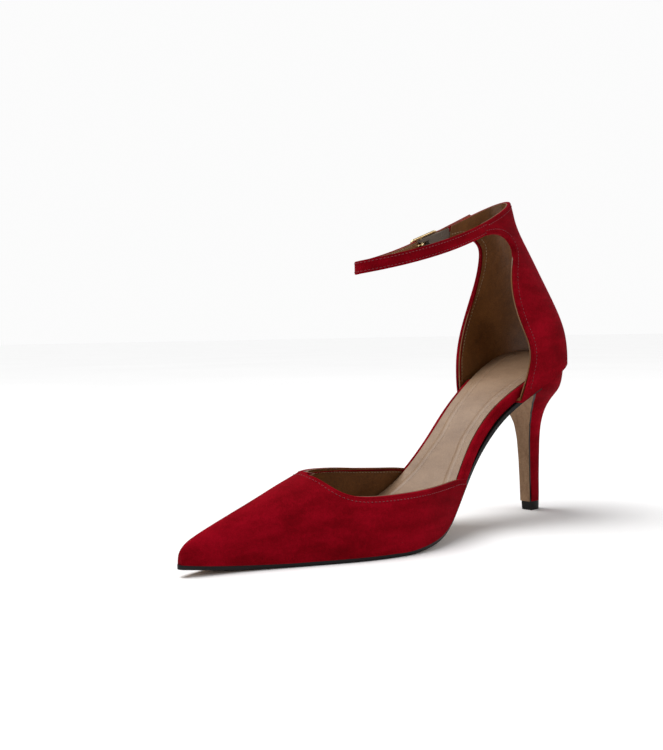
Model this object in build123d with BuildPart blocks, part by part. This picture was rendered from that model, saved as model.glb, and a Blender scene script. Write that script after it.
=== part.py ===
from build123d import *
import os
from math import cos, pi, radians, sin

os.makedirs("parts", exist_ok=True)

# Right shoe of a pair. Millimetres. +Z is up, the toe points along -Y, the medial (inner) side is +X.
# Stations along the shoe are distances forward from the back of the heel, turned into Y by at().

# ---- Driving dimensions ----
SHOE_LENGTH = 248.0
HALF_LENGTH = SHOE_LENGTH / 2
TREAD_START = 156.5
TREAD_END = 197.5
BREAST_STATION = 36.5
OUTSOLE_T = 1.9
FLAP_T = 1.2
SUEDE_T = 1.1
INTERLINING_T = 0.55
LINING_T = 0.7
PLY_GAP = 0.05
COUNTER_T = 0.85
UPPER_BULGE = 0.9
MARGIN_T = 0.7
BOARD_LOW = 3.5
BOARD_HIGH = 5.5
PAD_HIGH = 6.7
SOCK_HIGH = 7.7
WRAP_T = 1.0
SHANK_WIDTH = 10.0
TOP_PIECE_H = 5.0
COVER_T = 0.8
STRAP_H = 6.3
STRAP_SUEDE_T = 0.8
STRAP_TAPE_T = 0.3
STRAP_LINING_T = 0.6
STRAP_T = STRAP_SUEDE_T + STRAP_TAPE_T + STRAP_LINING_T
RING_SLOPE = 0.334
RING_TILT = 0.081
RING_HEIGHT = 149.2
RING_HEIGHT_STATION = 91.5
SEAM_STATION = 75.5
TAB_STATION = 63.5
BAR_STATION = 79.0
FRONT_BAR = -7.0
REAR_BAR = 12.0
BAR_R = 0.7
FRAME_HALF_HEIGHT = 4.4
ELASTIC_H = 5.6
ELASTIC_T = 0.8
SIDE = 60.0

# Side view of the bottom: (station, height of the sole's lower face) from the heel seat to the tread.
REAR_PROFILE = [(0, 83.5), (11.5, 81), (21.5, 76.8), (36.5, 70), (51.5, 62), (61.5, 55.2), (71.5, 45.8),
                (81.5, 34.8), (96.5, 19.1), (111.5, 8.3), (126.5, 2.7), (141.5, 0.6), (TREAD_START, 0)]
FRONT_PROFILE = [(TREAD_END, 0), (213.5, 0.4), (231.5, 1.6), (SHOE_LENGTH + 2, 3.8)]

# Plan of the bottom: (station, half-width) on the medial and lateral sides, and the toe's tip.
MEDIAL_PLAN = [(4, 13.6), (10, 20.3), (22, 25.2), (41.5, 23), (61.5, 19.2), (81.5, 17.3), (96.5, 20.8),
               (111.5, 27), (126.5, 32.6), (141.5, 35.4), (156.5, 34.2), (176.5, 28.2), (196.5, 19),
               (213.5, 10.8), (231, 4.2), (243.5, -0.2)]
LATERAL_PLAN = [(4, 13.8), (10, 20.5), (22, 25.6), (41.5, 23.7), (61.5, 19.9), (81.5, 19.2), (96.5, 22.4),
                (111.5, 27.6), (126.5, 32.4), (141.5, 35.6), (156.5, 36.2), (176.5, 30.4), (196.5, 20.4),
                (213.5, 12.8), (231, 8.6), (243.5, 5.8)]
TOE_TIP_X = -3.0

# Ridge of the vamp: (station, height). Behind the throat the surface only guides the side walls.
RIDGE = [(90, 60), (96.5, 58), (111.5, 56), (126.5, 53), (141.5, 49.5), (156.5, 45.5), (176.5, 38.6),
         (190, 34.6), (205, 29.6), (218, 25), (231, 20), (240, 16.2), (245, 13.2), (247.2, 10.5)]

# Ankle and heel shape: (height, back station, half-ellipse depth, half-width, half-width far forward).
QUARTER_LEVELS = [(52, 1.0, 27, 24.0, 17.0), (68, 0.2, 26, 25.6, 18.0), (80, 0.0, 26, 26.6, 19.0),
                  (92, 0.6, 27, 27.2, 20.0), (102, 2.2, 30, 27.2, 20.8), (115, 7.2, 35, 25.8, 21.2),
                  (130, 15.2, 41, 23.3, 21.2), (145, 24.2, 46, 20.7, 20.2), (160, 33.2, 48, 18.6, 18.8),
                  (176, 42.2, 50, 16.9, 17.6)]
QUARTER_FRONT = 104.0

# Heel: (height, breast station, half-width at the breast, widest half-width, back station).
HEEL_LEVELS = [(TOP_PIECE_H, 18.9, 3.4, 3.7, 9.0), (16, 19.3, 3.5, 3.9, 8.9), (28, 19.8, 3.7, 4.3, 8.8),
               (40, 20.5, 4.2, 5.1, 8.7), (49, 21.5, 5.4, 6.7, 8.4), (56, 23.5, 8.0, 9.5, 7.4),
               (61.5, 26.8, 11.8, 13.4, 5.7), (66, 31.0, 16.6, 18.2, 3.6), (70.4, 36.2, 21.0, 22.6, 1.8),
               (76, 36.6, 22.2, 24.2, 0.8), (82, 36.8, 22.6, 25.0, 0.3), (88, 36.8, 22.8, 25.2, 0.2)]
HEEL_X = -1.2


def at(station):
    """Turn a distance forward from the heel's back into Y."""
    return HALF_LENGTH - station


def side(station, height):
    """A point of the side view, drawn on the YZ plane."""
    return (at(station), height)


def smooth(points, value):
    """Read a table of (station, value) pairs by straight runs between its stations."""
    for (s0, v0), (s1, v1) in zip(points, points[1:]):
        if value <= s1:
            return v0 + (v1 - v0) * (value - s0) / (s1 - s0)
    return points[-1][1]


def lifted(edge, lift, count):
    """Points of a side-view edge, moved square to it by lift."""
    points = []
    for k in range(count + 1):
        place = edge.position_at(k / count)
        along = edge.tangent_at(k / count)
        points.append((place.X + along.Y * lift, place.Y - along.X * lift))
    return points


with BuildLine(mode=Mode.PRIVATE) as rear_line:
    Spline(*[side(s, z) for s, z in REAR_PROFILE], tangents=((-1, -0.16), (-1, 0)))
with BuildLine(mode=Mode.PRIVATE) as front_line:
    Spline(*[side(s, z) for s, z in FRONT_PROFILE], tangents=((-1, 0), (-1, 0.14)))
REAR_EDGE = rear_line.edges()[0]
FRONT_EDGE = front_line.edges()[0]


def sole_band(low, high, first=None, last=None):
    """Side view of a layer of the bottom that lies between two lifts above the sole's lower face."""
    with BuildSketch(Plane.YZ) as band:
        with BuildLine():
            ends = []
            for lift in (low, high):
                rear = lifted(REAR_EDGE, lift, 22)
                front = lifted(FRONT_EDGE, lift, 6)
                Spline(*rear)
                Line(rear[-1], front[0])
                Spline(*front)
                ends.append((rear[0], front[-1]))
            Line(ends[0][0], ends[1][0])
            Line(ends[0][1], ends[1][1])
        make_face()
        if first is not None:
            with Locations(((at(first) + at(last)) / 2, 100)):
                Rectangle(at(first) - at(last), 400, mode=Mode.INTERSECT)
    return band.sketch


def sole_plan(inset=0.0):
    """Plan outline of the bottom, drawn in from its edge by inset."""
    tip = SHOE_LENGTH - 1.6 * inset
    tip_half = max(2.0 - 0.25 * inset, 0.6)
    first = 1.5 * inset if inset > 1 else 0
    last = tip - 3 - 3 * inset
    medial = [(w - inset, at(s)) for s, w in MEDIAL_PLAN if first < s < last]
    lateral = [(inset - w, at(s)) for s, w in LATERAL_PLAN if first < s < last]
    heel_back = (0, at(inset))
    medial_tip = (TOE_TIP_X + tip_half, at(tip - 1.2))
    lateral_tip = (TOE_TIP_X - tip_half, at(tip - 1.2))
    with BuildSketch(Plane.XY) as plan:
        with BuildLine():
            Spline(lateral_tip, *reversed(lateral), heel_back, *medial, medial_tip)
            ThreePointArc(medial_tip, (TOE_TIP_X, at(tip)), lateral_tip)
        make_face()
    return plan.sketch


def station_box(first, last):
    """Plan rectangle that covers the stations from first to last."""
    with BuildSketch(Plane.XY) as box:
        with Locations((0, (at(first) + at(last)) / 2)):
            Rectangle(4 * SIDE, at(first) - at(last))
    return box.sketch


def sole_layer(low, high, inset, first=None, last=None):
    """A closed layer that follows the bottom's side view and its plan."""
    with BuildPart() as layer:
        extrude(sole_band(low, high, first, last), amount=SIDE, both=True)
        extrude(sole_plan(inset), amount=300, mode=Mode.INTERSECT)
    return layer.part


def margin_opening(grow):
    """Plan of the room that the lasting margins leave open: forepart, shank slot and heel seat."""
    with BuildSketch(Plane.XY) as plan:
        with Locations((0, at(158))):
            Ellipse(20 + grow, 42 + grow)
        with Locations((0, at(24))):
            Ellipse(12 + grow, 10 + grow)
        with Locations((0, at(70))):
            Rectangle(SHANK_WIDTH + 0.4 + 2 * grow, 120)
    return plan.sketch


def sole_height(station):
    """Height of the sole's lower face at a station."""
    if station >= TREAD_END:
        return smooth(FRONT_PROFILE, station)
    return smooth(REAR_PROFILE, min(station, TREAD_START))


# ---- Bottom ----

def heel_outline(level, inset=0.0, reach=3.0):
    """D-shaped section of the heel at one level, carried on past its flat breast by reach."""
    height, breast, breast_half, widest, back = level
    depth = breast - back
    breast_y = at(breast)
    half = breast_half - inset
    wide = widest - inset
    with BuildSketch(Plane.XY.offset(height)) as outline:
        with BuildLine():
            Polyline((HEEL_X - half, breast_y), (HEEL_X - half, breast_y - reach),
                     (HEEL_X + half, breast_y - reach), (HEEL_X + half, breast_y))
            Spline((HEEL_X + half, breast_y),
                   (HEEL_X + wide, breast_y + 0.4 * depth),
                   (HEEL_X + 0.66 * wide, breast_y + 0.82 * depth - 0.5 * inset),
                   (HEEL_X, at(back) - inset),
                   (HEEL_X - 0.66 * wide, breast_y + 0.82 * depth - 0.5 * inset),
                   (HEEL_X - wide, breast_y + 0.4 * depth),
                   (HEEL_X - half, breast_y))
        make_face()
    return outline.sketch


# Everything above the seat's plane, used to cut the heel's parts to the slope of the seat.
with BuildPart() as above_seat:
    with BuildSketch(Plane.YZ):
        with BuildLine():
            seat_line = lifted(REAR_EDGE, OUTSOLE_T, 22)[:7]
            Spline(*seat_line)
            Polyline(seat_line[-1], (seat_line[-1][0], 220), (at(-30), 220), (at(-30), seat_line[0][1] + 5),
                     seat_line[0])
        make_face()
    extrude(amount=SIDE, both=True)

# Breast face, from the seat down to the top piece, as a side-view line.
with BuildLine(mode=Mode.PRIVATE) as breast_line:
    Spline(*[side(level[1], level[0]) for level in HEEL_LEVELS[:-3]])
BREAST_EDGE = breast_line.edges()[0]

# All that lies behind the breast face and below the seat.
with BuildPart() as heel_reach:
    with BuildSketch(Plane.YZ):
        with BuildLine():
            breast_points = lifted(BREAST_EDGE, 0, 16)
            Spline(*breast_points)
            Polyline(breast_points[-1], (breast_points[-1][0], 100), (at(-20), 100),
                     (at(-20), breast_points[0][1]), breast_points[0])
        make_face()
    extrude(amount=SIDE, both=True)
    add(above_seat.part, mode=Mode.SUBTRACT)

with BuildPart() as heel_outer:
    for level in HEEL_LEVELS:
        add(heel_outline(level))
    loft()
    add(heel_reach.part, mode=Mode.INTERSECT)

with BuildPart() as heel_inner:
    for level in HEEL_LEVELS:
        add(heel_outline(level, COVER_T))
    loft()

# Flap of outsole leather that turns down the heel's breast, then the outsole that it belongs to.
with BuildPart() as flap_width:
    for level in HEEL_LEVELS:
        with BuildSketch(Plane.XY.offset(level[0])):
            with Locations((HEEL_X, at(level[1] + 4))):
                Rectangle(2 * level[2], 24)
    loft(ruled=True)

with BuildPart() as breast_flap:
    with BuildSketch(Plane.YZ):
        with BuildLine():
            inner = lifted(BREAST_EDGE, -0.03, 16)
            outer = lifted(BREAST_EDGE, -FLAP_T, 16)
            Spline(*inner)
            Spline(*outer)
            Line(inner[0], outer[0])
            Polyline(inner[-1], side(BREAST_STATION + 0.3, sole_height(BREAST_STATION) + 1.6),
                     side(BREAST_STATION + 4, sole_height(BREAST_STATION + 4) + 0.9), outer[-1])
        make_face()
    extrude(amount=SIDE, both=True)
    add(flap_width.part, mode=Mode.INTERSECT)

with BuildPart() as outsole:
    add(sole_layer(0, OUTSOLE_T, 0, BREAST_STATION + 0.2, SHOE_LENGTH))
    add(breast_flap.part)
outsole.part.label = "outsole"
export_step(outsole.part, "parts/outsole.step")


def station_place(station, lift):
    """Plane that stands square on the seat or waist at a station, at a lift above the sole's lower face."""
    low, high = 0.0, 1.0
    for _ in range(40):
        middle = (low + high) / 2
        if REAR_EDGE.position_at(middle).X > at(station):
            low = middle
        else:
            high = middle
    place = REAR_EDGE.position_at(low)
    along = REAR_EDGE.tangent_at(low)
    normal = Vector(0, along.Y, -along.X)
    foot = Vector(0, place.X, place.Y) + normal * lift
    return Plane(origin=foot, x_dir=(1, 0, 0), z_dir=normal)


# Fasteners: (head radius, head thickness, shank radius, length), and where they stand as (station, across).
SCREW_SIZE = (3.2, 1.4, 1.7, 24)
NAIL_SIZE = (1.7, 0.6, 0.8, 13)
RIVET_SIZE = (2.6, 0.5, 1.5, 3.2)
SCREW_PLACES = [(22, 0)]
NAIL_PLACES = [(20, -7), (20, 7), (29, -7), (29, 7)]
RIVET_PLACES = [(52, 0), (104, 0)]


def fasteners(size, places, rise=0.0):
    """Headed pins that stand square in the insole; rise carries the heads upward, to cut the room they sit in."""
    head_r, head_t, shank_r, length = size
    with BuildPart() as pins:
        for station, across in places:
            with Locations(station_place(station, BOARD_HIGH - 0.1) * Pos(across, 0, -head_t)):
                Cylinder(head_r, head_t + rise, align=(Align.CENTER, Align.CENTER, Align.MIN))
                Cylinder(shank_r, length - head_t, align=(Align.CENTER, Align.CENTER, Align.MAX))
    return pins.part


with BuildPart() as heel_screw:
    add(fasteners(SCREW_SIZE, SCREW_PLACES))
heel_screw.part.label = "heel_screw"
export_step(heel_screw.part, "parts/heel_screw.step")

with BuildPart() as heel_nails:
    add(fasteners(NAIL_SIZE, NAIL_PLACES))
heel_nails.part.label = "heel_nails"
export_step(heel_nails.part, "parts/heel_nails.step")

with BuildPart() as shank_rivets:
    add(fasteners(RIVET_SIZE, RIVET_PLACES))
shank_rivets.part.label = "shank_rivets"
export_step(shank_rivets.part, "parts/shank_rivets.step")

with BuildPart() as shank:
    extrude(sole_band(OUTSOLE_T + PLY_GAP, BOARD_LOW - PLY_GAP, 12, 114), amount=SIDE, both=True)
    with BuildSketch(Plane.XY):
        with Locations((0, at(63))):
            SlotOverall(100, SHANK_WIDTH, rotation=90)
    extrude(amount=300, mode=Mode.INTERSECT)
    add(shank_rivets.part, mode=Mode.SUBTRACT)
    add(heel_screw.part, mode=Mode.SUBTRACT)
shank.part.label = "shank"
export_step(shank.part, "parts/shank.step")

with BuildPart() as bottom_filler:
    extrude(sole_band(OUTSOLE_T + PLY_GAP, BOARD_LOW - PLY_GAP, 117, 201), amount=SIDE, both=True)
    with BuildSketch(Plane.XY):
        with Locations((0, at(158))):
            Ellipse(20, 41)
    extrude(amount=90, mode=Mode.INTERSECT)
bottom_filler.part.label = "bottom_filler"
export_step(bottom_filler.part, "parts/bottom_filler.step")

with BuildPart() as insole_board:
    add(sole_layer(BOARD_LOW, BOARD_HIGH, 3.6, 4, 232))
    for size, places in ((SCREW_SIZE, SCREW_PLACES), (NAIL_SIZE, NAIL_PLACES), (RIVET_SIZE, RIVET_PLACES)):
        add(fasteners(size, places, rise=2), mode=Mode.SUBTRACT)
insole_board.part.label = "insole_board"
export_step(insole_board.part, "parts/insole_board.step")

with BuildPart() as sock_pad:
    add(sole_layer(BOARD_HIGH + PLY_GAP, PAD_HIGH - PLY_GAP, 4.0, 5, 232))
sock_pad.part.label = "sock_pad"
export_step(sock_pad.part, "parts/sock_pad.step")

with BuildPart() as sock_lining:
    add(sole_layer(PAD_HIGH, SOCK_HIGH, 3.6, 4, 232))
sock_lining.part.label = "sock_lining"
export_step(sock_lining.part, "parts/sock_lining.step")

# Suede that wraps the insole's edge where the waist is open, one strip on each side.
for wrap_name, sign, first, last in (("insole_wrap_medial", 1, 54.5, 93.4), ("insole_wrap_lateral", -1, 51, 92.4)):
    with BuildPart() as insole_wrap:
        add(sole_layer(OUTSOLE_T + PLY_GAP, PAD_HIGH - PLY_GAP, 1.1, first, last))
        extrude(sole_plan(1.1 + WRAP_T + 0.4), amount=300, mode=Mode.SUBTRACT)
        with Locations((sign * SIDE / 2, 0, 100)):
            Box(SIDE, 400, 400, mode=Mode.INTERSECT)
    insole_wrap.part.label = wrap_name
    export_step(insole_wrap.part, f"parts/{wrap_name}.step")


# ---- Heel ----

HEEL_PIN_STATION = 13.6
with BuildPart() as heel_pin:
    with Locations((HEEL_X, at(HEEL_PIN_STATION), TOP_PIECE_H + 0.1)):
        Cylinder(1.75, 52, align=(Align.CENTER, Align.CENTER, Align.MIN))
        Cylinder(1.05, 52, align=(Align.CENTER, Align.CENTER, Align.MIN), mode=Mode.SUBTRACT)
heel_pin.part.label = "heel_pin"
export_step(heel_pin.part, "parts/heel_pin.step")

with BuildPart() as top_piece_pin:
    with Locations((HEEL_X, at(HEEL_PIN_STATION), 2)):
        Cylinder(1.0, 16, align=(Align.CENTER, Align.CENTER, Align.MIN))
        Cylinder(2.4, 0.8, align=(Align.CENTER, Align.CENTER, Align.MIN))
top_piece_pin.part.label = "top_piece_pin"
export_step(top_piece_pin.part, "parts/top_piece_pin.step")

with BuildPart() as heel_block:
    add(heel_inner.part)
    add(heel_reach.part, mode=Mode.INTERSECT)
    with Locations((HEEL_X, at(HEEL_PIN_STATION), TOP_PIECE_H - 1)):
        Cylinder(1.75, 53.1, align=(Align.CENTER, Align.CENTER, Align.MIN), mode=Mode.SUBTRACT)
    add(heel_screw.part, mode=Mode.SUBTRACT)
    add(heel_nails.part, mode=Mode.SUBTRACT)
heel_block.part.label = "heel_block"
export_step(heel_block.part, "parts/heel_block.step")

with BuildPart() as heel_cover:
    add(heel_outer.part)
    add(heel_inner.part, mode=Mode.SUBTRACT)
heel_cover.part.label = "heel_cover"
export_step(heel_cover.part, "parts/heel_cover.step")

with BuildPart() as top_piece:
    tip_level = HEEL_LEVELS[0]
    add(heel_outline((0, tip_level[1] - 0.2, 3.2, 3.5, tip_level[4] + 0.2), reach=0.1))
    add(heel_outline((TOP_PIECE_H - 0.05, *tip_level[1:]), reach=0.1))
    loft()
    add(top_piece_pin.part, mode=Mode.SUBTRACT)
top_piece.part.label = "top_piece"
export_step(top_piece.part, "parts/top_piece.step")


def margin_cut(low, high):
    """Solid that opens the lasting margins between two lifts above the sole's lower face."""
    with BuildPart() as cut:
        extrude(sole_band(low, high), amount=SIDE, both=True)
        extrude(margin_opening(0.1), amount=300, mode=Mode.INTERSECT)
    return cut.part


# ---- Vamp ----

def above_sole(lift, first=-10, last=SHOE_LENGTH + 10):
    """Side view of all that lies above the sole's lower face moved up by lift."""
    with BuildSketch(Plane.YZ) as region:
        with BuildLine():
            rear = lifted(REAR_EDGE, lift, 22)
            front = lifted(FRONT_EDGE, lift, 6)
            Spline(*rear)
            Line(rear[-1], front[0])
            Spline(*front)
            Polyline(front[-1], (at(last), front[-1][1]), (at(last), 230), (at(first), 230),
                     (at(first), rear[0][1]), rear[0])
        make_face()
    return region.sketch


def vamp_form(inset):
    """Solid form of the forepart, drawn in from the outer face by inset."""
    with BuildPart() as form:
        for station, ridge in RIDGE:
            if station > 240:
                station = station - 1.5 * inset
                ridge = ridge - 0.3 * inset
            base = sole_height(station) + 0.6
            medial = smooth(MEDIAL_PLAN + [(SHOE_LENGTH, TOE_TIP_X + 0.3)], station) + UPPER_BULGE - inset
            lateral = smooth(LATERAL_PLAN + [(SHOE_LENGTH, 0.3 - TOE_TIP_X)], station) + UPPER_BULGE - inset
            middle = (medial - lateral) / 2
            half = (medial + lateral) / 2
            rise = ridge - inset - base
            arch = [(half * cos(pi * k / 10), rise * sin(pi * k / 10)) for k in range(11)]
            with BuildSketch(Plane(origin=(middle, at(station), base), x_dir=(1, 0, 0), z_dir=(0, -1, 0))):
                with BuildLine():
                    Spline(*arch, tangents=((0, 1), (0, -1)))
                    Line(arch[-1], arch[0])
                make_face()
        loft()
    return form.part


THROAT_STATION = 181.5
MEDIAL_TOPLINE = [(93.8, 27.3), (100, 27.9), (113, 27.8), (128, 27.5), (144, 27.3), (158, 27.2), (167, 27.6),
                  (173, 29), (177.6, 32.2), (THROAT_STATION, 38.4)]
LATERAL_TOPLINE = [(92.8, 28.8), (101, 30.1), (113, 31), (126, 32.1), (140, 33.7), (153, 34.8), (165, 35.8),
                   (174, 36.7), (THROAT_STATION, 38.4)]


def vamp_side(topline):
    """Side view of the part of the forepart that lies below one side's topline."""
    with BuildSketch(Plane.YZ) as region:
        with BuildLine():
            Spline(*[side(s, z) for s, z in topline])
            Polyline(side(*topline[-1]), side(THROAT_STATION, 90), side(260, 90), side(260, -10),
                     side(topline[0][0], -10), side(*topline[0]))
        make_face()
    return region.sketch


with BuildPart() as vamp_reach:
    extrude(vamp_side(MEDIAL_TOPLINE), amount=SIDE)
    extrude(vamp_side(LATERAL_TOPLINE), amount=-SIDE)

def vamp_ply(outer_inset, inner_inset, low, floor):
    """One ply of the forepart; floor is how high its turned-in lasting margin reaches, or low for none."""
    with BuildPart() as hollow:
        add(vamp_form(inner_inset))
        extrude(above_sole(floor), amount=SIDE, both=True, mode=Mode.INTERSECT)
    with BuildPart() as ply:
        add(vamp_form(outer_inset))
        extrude(above_sole(low), amount=SIDE, both=True, mode=Mode.INTERSECT)
        add(hollow.part, mode=Mode.SUBTRACT)
        add(vamp_reach.part, mode=Mode.INTERSECT)
        if floor > low:
            add(margin_cut(low - 1, floor + 0.05), mode=Mode.SUBTRACT)
    return ply.part


PLY_1 = SUEDE_T
PLY_2 = PLY_1 + PLY_GAP
PLY_3 = PLY_2 + INTERLINING_T
PLY_4 = PLY_3 + PLY_GAP
PLY_5 = PLY_4 + LINING_T
FLOOR_1 = OUTSOLE_T + 0.03
FLOOR_2 = FLOOR_1 + MARGIN_T
FLOOR_3 = FLOOR_2 + PLY_GAP
FLOOR_4 = FLOOR_3 + MARGIN_T

with BuildPart() as vamp:
    add(vamp_ply(0, PLY_1, FLOOR_1, FLOOR_2))
vamp.part.label = "vamp"
export_step(vamp.part, "parts/vamp.step")

with BuildPart() as vamp_lining:
    add(vamp_ply(PLY_4, PLY_5, FLOOR_3, FLOOR_4))
vamp_lining.part.label = "vamp_lining"
export_step(vamp_lining.part, "parts/vamp_lining.step")

PUFF_STATION = 216
with BuildPart() as toe_puff:
    add(vamp_ply(PLY_2, PLY_3, FLOOR_3, FLOOR_3))
    extrude(station_box(PUFF_STATION, 260), amount=80, mode=Mode.INTERSECT)
toe_puff.part.label = "toe_puff"
export_step(toe_puff.part, "parts/toe_puff.step")

with BuildPart() as vamp_interlining:
    add(vamp_ply(PLY_2, PLY_3, FLOOR_3, FLOOR_3))
    extrude(station_box(96, PUFF_STATION - 0.5), amount=80, mode=Mode.INTERSECT)
vamp_interlining.part.label = "vamp_interlining"
export_step(vamp_interlining.part, "parts/vamp_interlining.step")


# ---- Quarter ----

COUNTER_TOP = 128.0
QPLY_1 = SUEDE_T
QPLY_2 = QPLY_1 + PLY_GAP
QPLY_3 = QPLY_2 + COUNTER_T
QPLY_4 = QPLY_3 + PLY_GAP
QPLY_5 = QPLY_4 + LINING_T


def quarter_form(inset):
    """Solid form of the ankle and heel, drawn in from the outer face by inset."""
    with BuildPart() as form:
        for height, back, depth, half, forward_half in QUARTER_LEVELS:
            half = half - inset
            forward_half = forward_half - inset
            wide_station = back + depth
            turn = [(half * sin(radians(a)), at(wide_station - (depth - inset) * cos(radians(a))))
                    for a in (0, 15, 33, 52, 72)]
            forward_y = at(QUARTER_FRONT + inset)
            middle_station = (wide_station + QUARTER_FRONT) / 2
            middle = half * 0.6 + forward_half * 0.4
            medial = turn + [(half, at(wide_station)), (middle, at(middle_station)), (forward_half, forward_y)]
            lateral = [(-x, y) for x, y in reversed(medial[1:])]
            with BuildSketch(Plane.XY.offset(height)):
                with BuildLine():
                    Spline(*lateral, *medial)
                    Line(medial[-1], lateral[0])
                make_face()
        loft()
    return form.part


def ring_top(station):
    """Height of the collar's and strap's top edge above the middle line, at a station."""
    forward = RING_HEIGHT_STATION - station
    return RING_HEIGHT + RING_SLOPE * forward + 4.05 * (forward / 50) ** 2


def ring_band(low, high, first, last):
    """Solid slab across the shoe between two drops below the collar's top edge, tilted as the collar is."""
    stations = [first + (last - first) * k / 8 for k in range(9)]
    upper = [side(s, ring_top(s) - high) for s in stations]
    lower = [side(s, ring_top(s) - low) for s in stations]
    with BuildPart() as slab:
        with BuildSketch(Plane.YZ):
            with BuildLine():
                Spline(*upper)
                Spline(*lower)
                Line(upper[0], lower[0])
                Line(upper[-1], lower[-1])
            make_face()
        extrude(amount=SIDE, both=True, dir=(1, 0, RING_TILT))
    return slab.part


MEDIAL_FRONT = [(53.6, 52), (53.2, 61), (51.2, 70), (48.2, 79), (46.8, 87), (48.6, 95), (52.4, 102), (56.6, 111.5),
                (58.5, 122), (57.0, 132), (53.4, 140), (51.8, 145.2), (54.4, 149.4), (60.5, 151.5), (67, 151.6),
                (SEAM_STATION, 150.2)]
LATERAL_FRONT = [(50.0, 52), (49.9, 64), (49.8, 74), (48.6, 86), (45.4, 97), (41.6, 108), (38.8, 120), (38.2, 131),
                 (39.2, 140), (42.2, 148), (48.5, 152.4), (56, 153.6), (TAB_STATION, 151.9)]


def quarter_side(front):
    """Side view of the part of the quarter that lies behind one side's front edge."""
    with BuildSketch(Plane.YZ) as region:
        with BuildLine():
            Spline(*[side(s, z) for s, z in front])
            Polyline(side(*front[-1]), side(front[-1][0], 200), side(-20, 200), side(-20, 50),
                     side(front[0][0], 50), side(*front[0]))
        make_face()
    return region.sketch


with BuildPart() as quarter_reach:
    extrude(quarter_side(MEDIAL_FRONT), amount=SIDE)
    extrude(quarter_side(LATERAL_FRONT), amount=-SIDE)
    add(ring_band(0, -60, 25, 100), mode=Mode.SUBTRACT)
    with Locations((0, at(15), 200)):
        Box(4 * SIDE, 60, 2 * (200 - 172.5), mode=Mode.SUBTRACT)


def quarter_ply(outer_inset, inner_inset, low, floor):
    """One ply of the quarter; floor is how high its turned-in lasting margin reaches, or low for none."""
    with BuildPart() as hollow:
        add(quarter_form(inner_inset))
        extrude(above_sole(floor), amount=SIDE, both=True, mode=Mode.INTERSECT)
    with BuildPart() as ply:
        add(quarter_form(outer_inset))
        extrude(above_sole(low), amount=SIDE, both=True, mode=Mode.INTERSECT)
        add(hollow.part, mode=Mode.SUBTRACT)
        add(quarter_reach.part, mode=Mode.INTERSECT)
        if floor > low:
            add(margin_cut(low - 1, floor + 0.05), mode=Mode.SUBTRACT)
    return ply.part


quarter_suede = quarter_ply(0, QPLY_1, FLOOR_1, FLOOR_2)
for quarter_name, sign in (("quarter_medial", 1), ("quarter_lateral", -1)):
    with BuildPart() as quarter:
        add(quarter_suede)
        with Locations((sign * (SIDE / 2 + 0.02), 0, 100)):
            Box(SIDE, 400, 400, mode=Mode.INTERSECT)
    quarter.part.label = quarter_name
    export_step(quarter.part, f"parts/{quarter_name}.step")

with BuildPart() as quarter_lining:
    add(quarter_ply(QPLY_4, QPLY_5, FLOOR_3, FLOOR_4))
quarter_lining.part.label = "quarter_lining"
export_step(quarter_lining.part, "parts/quarter_lining.step")

with BuildPart() as heel_counter:
    add(quarter_ply(QPLY_2, QPLY_3, FLOOR_3, FLOOR_3))
    with BuildSketch(Plane.YZ):
        with BuildLine():
            Polyline(side(-5, 50), side(44, 50), side(44, 80))
            Spline(side(44, 80), side(36, 104), side(22, COUNTER_TOP - 4), side(5, COUNTER_TOP))
            Polyline(side(5, COUNTER_TOP), side(-5, COUNTER_TOP), side(-5, 50))
        make_face()
    extrude(amount=SIDE, both=True, mode=Mode.INTERSECT)
heel_counter.part.label = "heel_counter"
export_step(heel_counter.part, "parts/heel_counter.step")


# ---- Ankle strap and buckle ----

# Middle line of the strap in plan: (x, station), from the medial seam round the front to the tail.
STRAP_PATH = [(18.5, SEAM_STATION + 0.25), (19.3, 86), (19.1, 100), (17.1, 114), (12.8, 128), (7, 137.6),
              (0, 142.4), (-7, 138), (-13.2, 127.5), (-17.4, 113), (-19.5, 99), (-21.2, 87), (-24.95, 79),
              (-21.8, 70.5), (-19.9, 65.5), (-19.2, 60), (-17.9, 54), (-15.7, 46)]
with BuildLine(mode=Mode.PRIVATE) as strap_line:
    Spline(*[(x, at(s)) for x, s in STRAP_PATH])
STRAP_EDGE = strap_line.edges()[0]

BAR_X = -22.35
FRAME_AIM = (0.074, 1, 0.375)
bar_height = ring_top(BAR_STATION) + RING_TILT * BAR_X - STRAP_H / 2
buckle_plane = Plane(origin=(BAR_X, at(BAR_STATION), bar_height), x_dir=FRAME_AIM, z_dir=(-1, 0.074, 0))
prong_plane = Plane(origin=buckle_plane.origin, x_dir=buckle_plane.x_dir, z_dir=buckle_plane.y_dir)


def ribbon(low, high, count=60):
    """Plan of one ply of the strap, between two distances outward from its middle line."""
    outer = []
    inner = []
    for k in range(count + 1):
        place = STRAP_EDGE.position_at(k / count)
        along = STRAP_EDGE.tangent_at(k / count)
        outward = Vector(-along.Y, along.X)
        outer.append((place.X + outward.X * high, place.Y + outward.Y * high))
        inner.append((place.X + outward.X * low, place.Y + outward.Y * low))
    with BuildSketch(Plane.XY) as plan:
        with BuildLine():
            Spline(*outer)
            Spline(*inner)
            Line(outer[0], inner[0])
            Line(outer[-1], inner[-1])
        make_face()
    return plan.sketch


FRAME_BAR_T = 1.4
FRAME_LENGTH = REAR_BAR - FRONT_BAR + FRAME_BAR_T
FRAME_MIDDLE = (REAR_BAR + FRONT_BAR) / 2
WINDOW_HALF = 3.55


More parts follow.
